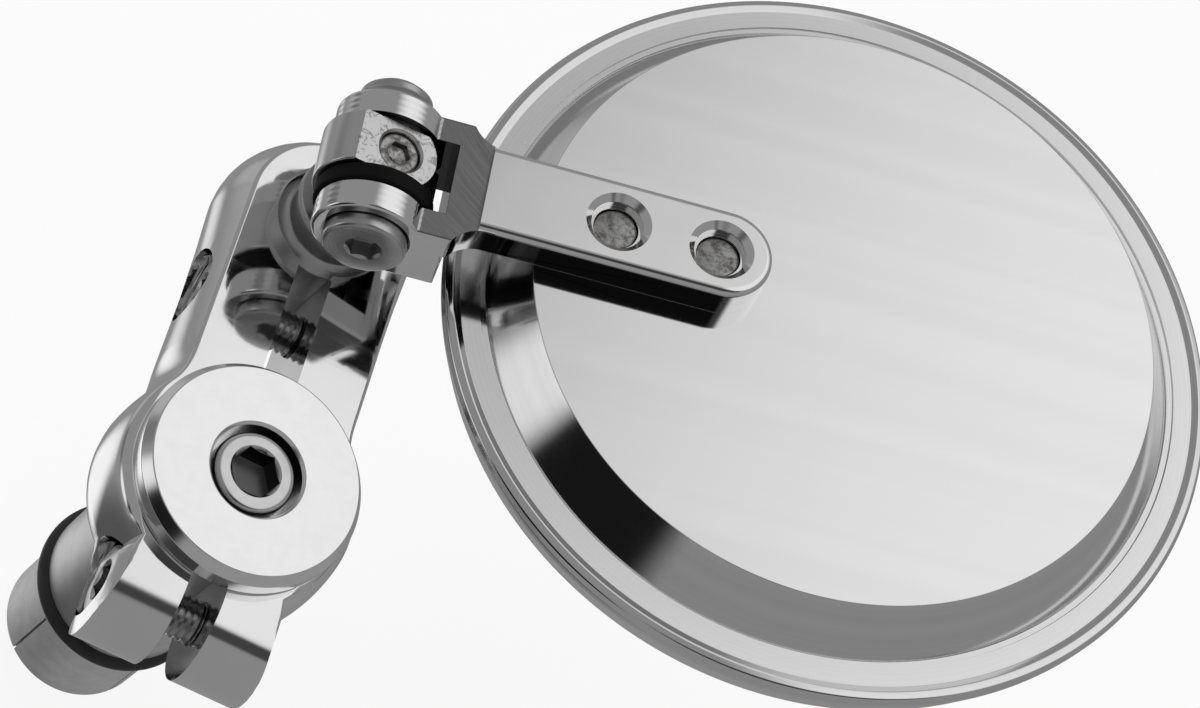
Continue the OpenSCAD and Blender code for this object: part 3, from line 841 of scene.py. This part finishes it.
def pinch_bolt(name, node, y, side):
    """Socket screw along X, with a cut thread that shows in the slot."""
    seat = -side + PINCH_DEPTH
    top = seat - PINCH_HEAD_TALL
    profile = softened([(0, top), (PINCH_HEAD, top, 0.5), (PINCH_HEAD, seat), (PINCH_THREAD, seat)],
                       closed=False)
    at = seat + 1.0
    while at < THREAD_END:
        profile += [(PINCH_THREAD, at), (THREAD_ROOT, at + THREAD_PITCH / 2)]
        at += THREAD_PITCH
    profile += [(2.1, THREAD_END + 0.2), (0, THREAD_END + 0.2)]
    body = with_socket(lathe(profile, 72), name, moved(z=top) @ UPSIDE_DOWN, across=4, depth=2.2)
    finished(body, name, moved(y=y, z=PINCH_Z) @ ALONG_X, "arm", [node], PINCH_STEEL,
             25)


# Swivel

def stem():
    stud_top = BLOCK_SEAT + STUD_TALL
    body = lathe(softened([
        (0, ARM_BACK - PIVOT), (STEM, ARM_BACK - PIVOT, 0.5), (STEM, ARM_FRONT - PIVOT - 1.4, 0.3),
        (STEM_NECK, STEM_NECK_LOW, 0.5), (STEM_NECK, STEM_NECK_HIGH, 0.8),
        (STEM_SHOULDER, BLOCK_SEAT - 1, 0.5), (STEM_SHOULDER, BLOCK_SEAT, 0.15),
        (STUD, BLOCK_SEAT), (STUD, stud_top), (0, stud_top)], closed=False), 96)
    finished(body, "stem", ON_STEM, "swivel", ["swivel_stem"], STEM_FINISH)


def pivot_block():
    disc = plate(arc(0, 0, BLOCK, 0, 357.5, 143), -BLOCK_HIGH, -BLOCK_LOW, 0.25, 0.25, 3)
    hole = SET_SCREW + FIT
    mouth = BLOCK_FLAT + 0.7
    screw_hole = lathe([(0, 0), (hole, 0), (hole, BLOCK_FLAT - 0.25), (3.4, mouth), (0, mouth)], 72)
    # Above its shelf, the far end keeps only a round about the screw
    end = worked(block((0, 15), (-15, 15), (BLOCK_SHELF, 20)), "end", cuts=[rod(BLOCK_END, -10, 30)])
    cuts = [block((-15, 15), (-15, 15), (BLOCK_FLAT, 20)),
            block((-15, 15), (-15, 15), (-20, BLOCK_SEAT)),
            laid(rod(PIN_HOLE, -20, 20), ALONG_Y),
            laid(screw_hole, moved(y=BLOCK_MIDDLE)),
            laid(end, moved(y=BLOCK_MIDDLE))]
    body = worked(laid(disc, turned_by("X", 90)), "pivot_block", cuts=cuts)
    finished(body, "block", ON_STEM, "swivel", ["pivot_block"], SCRAPED_BLOCK,
             edge=0.12)


def block_screw():
    body = lathe(softened([(0, PIN_HOLE), (SET_SCREW, PIN_HOLE), (SET_SCREW, SET_SCREW_TOP, 0.35),
                           (0, SET_SCREW_TOP)], closed=False), 64)
    body = with_socket(body, "set_screw", moved(z=SET_SCREW_TOP), across=2.5, depth=1.0, lead=0.2)
    finished(body, "set_screw", ON_STEM @ moved(y=BLOCK_MIDDLE), "swivel", ["block_screw"],
             BLOCK_SCREW_FINISH)


# Mirror side of the hinge

def washers():
    low = -FORK_IN + END_PLAY
    black = lathe(softened([(PIN_HOLE, low), (WASHER, low, 0.4), (WASHER, WASHER_TOP, 0.4),
                            (PIN_HOLE, WASHER_TOP)]), 96, closed=True)
    finished(black, "black_ring", ON_BRACKET @ ALONG_Y, "mirror", ["friction_washer"],
             WASHER_BLACK)
    low = FORK_IN - THIN_WASHER_THICK
    thin = lathe([(PIN_HOLE, low), (THIN_WASHER, low), (THIN_WASHER, FORK_IN), (PIN_HOLE, FORK_IN)],
                 96, closed=True)
    finished(thin, "thin_ring", ON_BRACKET @ ALONG_Y, "mirror", ["thin_washer"],
             PIVOT_STEEL)


def pivot_bolt():
    seat = -FORK_OUT + PIN_HEAD_SUNK
    top = seat - PIN_HEAD_TALL
    end = FORK_OUT - 0.6
    body = lathe(softened([(0, top), (PIN_HEAD, top, 0.5), (PIN_HEAD, seat, 0.1), (PIN, seat),
                           (PIN, end), (0, end)], closed=False), 96)
    body = with_socket(body, "pivot_bolt", moved(z=top) @ UPSIDE_DOWN, across=3.5, depth=2.0)
    finished(body, "pivot_screw", ON_BRACKET @ ALONG_Y, "mirror", ["pivot_bolt"],
             PIVOT_STEEL)


def pivot_nut():
    """Barrel nut: a bored sleeve in the ear, a skirt on the ear's face and a domed head."""
    top = FORK_OUT + NUT_TALL
    bore_end = FORK_OUT - 0.3
    low = FORK_IN + 0.3
    body = lathe(softened([
        (PIN_HOLE, low), (NUT_SLEEVE, low), (NUT_SLEEVE, FORK_OUT), (EAR - 0.5, FORK_OUT, 0.1),
        (NUT_HEAD, FORK_OUT + NUT_SKIRT, 0.6), (NUT_HEAD, top - NUT_DOME_TALL, 0.4),
        (NUT_DOME, top, 0.5), (0, top), (0, bore_end), (PIN_HOLE, bore_end)]), 96, closed=True)
    body = with_socket(body, "pivot_nut", moved(z=top), across=3.5, depth=1.5)
    finished(body, "barrel_nut", ON_BRACKET @ ALONG_Y, "mirror", ["pivot_nut"],
             PIVOT_STEEL)


def fork():
    """The ears and the base: a side profile trimmed to a plan with two concave flares."""
    start = BASE_FLARE_START
    side = arc(0, 0, EAR, 35, 270, 90)
    side += [(FORK_BACK, -EAR), (FORK_BACK, PLATEAU), (start + 5, PLATEAU), (start + 5, BASE_TOP)]
    flare = arc(start + BASE_FLARE, -TONGUE_HALF - BASE_FLARE, BASE_FLARE, 180, 90, 16)
    flare = [(x, y) for x, y in flare if y > -FORK_OUT + 0.05]
    half = [(-EAR - 1, -FORK_OUT), (start - 0.1, -FORK_OUT)] + flare + [(start + 6, -TONGUE_HALF)]
    plan = half + [(x, -y) for x, y in reversed(half)]
    raised = laid(plate(side, -FORK_OUT, FORK_OUT, 0.45, 0.45, 4), turned_by("X", 90))
    return worked(raised, "bracket", keeps=[plate(plan, -12, 12)])


def tongue():
    """A round-ended bar with a rounded upper rim, from the base's end to the tip."""
    start = BASE_FLARE_START - 1
    outline = arc(TONGUE_TIP - TONGUE_HALF, 0, TONGUE_HALF, -90, 90, 48)
    outline = [(start, -TONGUE_HALF)] + outline + [(start, TONGUE_HALF)]
    bar = plate(outline, PLATEAU, TONGUE_TOP, top_edge=0.9, steps=6)
    return worked(bar, "tongue", keeps=[block((BASE_END, 60), (-10, 10), (-5, 10))])


def bracket():
    cuts = [block((-20, FORK_FLOOR), (-FORK_IN, FORK_IN), (-20, 20)),
            laid(rod(PIN_HOLE, -12, 0), ALONG_Y),
            laid(rod(NUT_SLEEVE + FIT, 0, 12), ALONG_Y),
            laid(rod(PIN_HEAD + LOOSE, -12, -FORK_OUT + PIN_HEAD_SUNK), ALONG_Y)]
    # Each screw has a through hole, a wider step near the top and a chamfered mouth
    hole = SHELL_SCREW + 0.05
    step = 2.95
    mouth = 3.75
    for x in SCREWS:
        screw_hole = lathe([(0, -3), (hole, -3), (hole, 2.5), (step, 2.5), (step, 3.3),
                            (mouth, 4.05), (mouth, 5), (0, 5)], 72)
        cuts.append(laid(screw_hole, moved(x=x)))
    body = worked(fork(), "bracket", joins=[tongue()], cuts=cuts)
    finished(body, "bracket", ON_BRACKET, "mirror", ["mirror_bracket"],
             POLISHED_BRACKET, edge=0.1)


def shell_screw(name, node, x):
    """Countersunk screw from inside the shell, whose end shows in the tongue."""
    foot = PLATEAU - SHELL_WALL
    top = TONGUE_TOP - 1.7
    body = lathe(softened([(0, foot), (SHELL_SCREW_HEAD, foot), (SHELL_SCREW, foot + 2.1),
                           (SHELL_SCREW, top, 0.35), (0, top)], closed=False), 72)
    body = with_socket(body, name, moved(z=foot) @ UPSIDE_DOWN, across=3, depth=1.5)
    finished(body, name, ON_BRACKET @ moved(x=x), "mirror", [node], WORN_SCREW)


# Mirror head

def shell():
    """From the middle of the flat over the cone, the ring and the rim, and back inside."""
    glass_hole = GLASS_R + 0.1
    body = lathe(softened([
        (0, PLATEAU), (PLATEAU_R, PLATEAU, 0.12), (CONE_FOOT, RING_Z, 0.1),
        (CONE_FOOT + 0.1, RING_Z - 0.25), (CONE_FOOT + 0.7, RING_Z - 0.25),
        (CONE_FOOT + 0.8, RING_Z), (MIRROR - 1.9, RING_Z, 0.2), (MIRROR - 1.15, RING_Z + 0.3, 0.5),
        (MIRROR - 0.35, RING_Z + 0.1, 0.5), (MIRROR, RING_Z - 0.7, 0.4),
        (MIRROR - 0.1, RING_Z - 1.5, 0.3), (MIRROR - 1.1, RIM_FRONT, 0.3),
        (glass_hole, RIM_FRONT, 0.1), (glass_hole, LEDGE), (CONE_FOOT - 1.8, LEDGE),
        (PLATEAU_R - 1.6, PLATEAU - SHELL_WALL), (0, PLATEAU - SHELL_WALL)], closed=False), 256)
    finished(body, "shell", ON_MIRROR, "mirror", ["mirror_shell"], SHELL_FINISH, 25)


def glass_pad():
    outer = GLASS_R - 0.3
    low = LEDGE - PAD
    pad = lathe([(PAD_INNER, low), (outer, low), (outer, LEDGE), (PAD_INNER, LEDGE)], 160,
                closed=True)
    finished(pad, "foam_ring", ON_MIRROR, "mirror", ["glass_pad"], PAD_FOAM)


def bulge_drop(r):
    """How far the glass falls away from its middle at a radius."""
    return GLASS_BULGE - math.sqrt(GLASS_BULGE ** 2 - r * r)


def mirror_glass():
    back = LEDGE - PAD
    rise = bulge_drop(GLASS_R)
    radii = [GLASS_R * i / 16 for i in range(17)]
    face = [(r, back - rise + bulge_drop(r) - GLASS_THICK) for r in radii[:-1]]
    face += [(GLASS_R - 0.25, back - GLASS_THICK), (GLASS_R, back - GLASS_THICK + 0.25)]
    rear = [(r, back - rise + bulge_drop(r)) for r in reversed(radii)]
    finished(lathe(face + rear, 192), "glass", ON_MIRROR, "mirror", ["mirror_glass"],
             MIRROR_FACE)


bar_spigot()
seat_ring()
sleeve()
draw_bolt()
end_cap()
clamp_arm()
pinch_bolt("lower_pinch_screw", "lower_pinch_bolt", PINCH_LOW_Y, LUG_HALF)
pinch_bolt("upper_pinch_screw", "upper_pinch_bolt", PINCH_HIGH_Y, ARM_HALF)
stem()
pivot_block()
block_screw()
washers()
pivot_bolt()
pivot_nut()
bracket()
shell_screw("inner_screw", "inner_shell_screw", SCREWS[0])
shell_screw("outer_screw", "outer_shell_screw", SCREWS[1])
shell()
glass_pad()
mirror_glass()

# The cone nut is hidden in the sleeve, so its own solid is shown
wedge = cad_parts["expander_wedge"]
wedge.data.materials.clear()
wedge.data.materials.append(SPIGOT_FINISH)


# Floor, light and camera

FLOOR_Z = -16.5
FLOOR_HALF = 3000

# The room's plain tone, then its panels and flags: turn from +X and lift in degrees, outer and
# inner half-angle in degrees, and tone. A later one lies over the ones before it.
ROOM_TONE = 0.3
PANELS = [
    (60, 62, 34, 8, 0.95),
    (5, 72, 28, 16, 0.95),
    (-95, 57, 22, 13, 0.05),
    (-57, 51, 12, 7, 0.06),
    (55, -30, 45, 15, 0.24),
    (130, -20, 20, 8, 0.45),
    (160, -16, 15, 8, 0.18),
    (-137, 2, 27, 17, 0.01),
    (-170, -8, 17, 7, 0.95),
    (-140, -60, 36, 14, 0.10),
    (145, -60, 20, 8, 1.1),
]

# The photograph's camera: width of the picture and focal length in its pixels, place and directions
PHOTO_WIDTH = 1200
PHOTO_FOCAL = 2958.4
SENSOR = 36
CAMERA_AT = (-75.1, -149.5, 300.6)
CAMERA_RIGHT = (0.8361, 0.2206, 0.5022)
CAMERA_AHEAD = (0.3229, 0.5422, -0.7758)


def floor_finish():
    """A pale floor that looks almost evenly white from the camera, and keeps a faint shadow."""
    finish = Finish("pale floor", Roughness=0.9, Metallic=0.0, Specular_IOR_Level=0.1)
    grain = finish.noise(finish.place(ON_BAR), 0.02, 3)
    finish.feed(Base_Color=finish.shade(grey(0.86), grey(0.9), grain))
    lit = Field(finish.tree, finish.shader.outputs[0])
    glow = finish.node("Emission", Color=(1, 1, 1, 1), Strength=1.0)
    seen = finish.ray("Camera").most(finish.ray("Transmission"))
    mixed = finish.node("MixShader", i0=seen * 0.9, i1=lit, i2=glow)
    plug(finish.tree, mixed, finish.tree.nodes["Material Output"].inputs["Surface"])
    return finish.material


def floor():
    bm = bmesh.new()
    bmesh.ops.create_grid(bm, x_segments=1, y_segments=1, size=FLOOR_HALF * MM)
    bmesh.ops.translate(bm, verts=bm.verts, vec=(0, 0, FLOOR_Z * MM))
    thing = as_object(bm, "floor")
    thing.data.materials.append(floor_finish())
    thing.visible_glossy = False


def room_light():
    """A grey room with bright panels and dark flags, told by direction; white to the camera."""
    world = bpy.data.worlds.new("room")
    bpy.context.scene.world = world
    world.use_nodes = True
    shading = Shading(world.node_tree)
    direction = shading.node("TexCoord", out=0)
    tone = ROOM_TONE
    for turn, lift, wide, narrow, level in PANELS:
        aim = turned_by("Z", turn) @ turned_by("Y", -lift) @ Vector((1, 0, 0))
        facing = shading.node("VectorMath", {"operation": "DOT_PRODUCT"}, out=1, i0=direction,
                              i1=tuple(aim))
        share = facing.above(math.cos(math.radians(wide)), math.cos(math.radians(narrow)))
        tone = (1 - share) * tone + share * level
    seen = shading.ray("Camera")
    tone = tone * (1 - seen) + seen
    background = shading.tree.nodes["Background"]
    background.inputs["Strength"].default_value = 1.0
    plug(shading.tree, shading.node("CombineColor", Red=tone, Green=tone, Blue=tone),
         background.inputs["Color"])


def soft_light(name, at, aim, size, power):
    lamp = bpy.data.lights.new(name, "AREA")
    lamp.shape = "SQUARE"
    lamp.size = size
    lamp.energy = power
    thing = bpy.data.objects.new(name, lamp)
    thing.location = at
    thing.rotation_euler = (Vector(aim) - Vector(at)).to_track_quat("-Z", "Y").to_euler()
    thing.visible_glossy = False
    bpy.context.scene.collection.objects.link(thing)


def camera():
    lens = bpy.data.cameras.new("camera")
    lens.sensor_fit = "HORIZONTAL"
    lens.sensor_width = SENSOR
    lens.lens = SENSOR * PHOTO_FOCAL / PHOTO_WIDTH
    lens.clip_start = 0.01
    ahead = Vector(CAMERA_AHEAD).normalized()
    up = Vector(CAMERA_RIGHT).normalized().cross(ahead).normalized()
    right = ahead.cross(up)
    thing = bpy.data.objects.new("camera", lens)
    turned = Matrix((right, up, -ahead)).transposed().to_4x4()
    thing.matrix_world = Matrix.Translation(Vector(CAMERA_AT) * MM) @ turned
    bpy.context.scene.collection.objects.link(thing)
    bpy.context.scene.camera = thing


floor()
room_light()
soft_light("key", (-0.25, 0.55, 0.75), (0.03, 0.02, 0.03), 0.5, 4)
camera()
view = bpy.context.scene.view_settings
view.view_transform = "Standard"
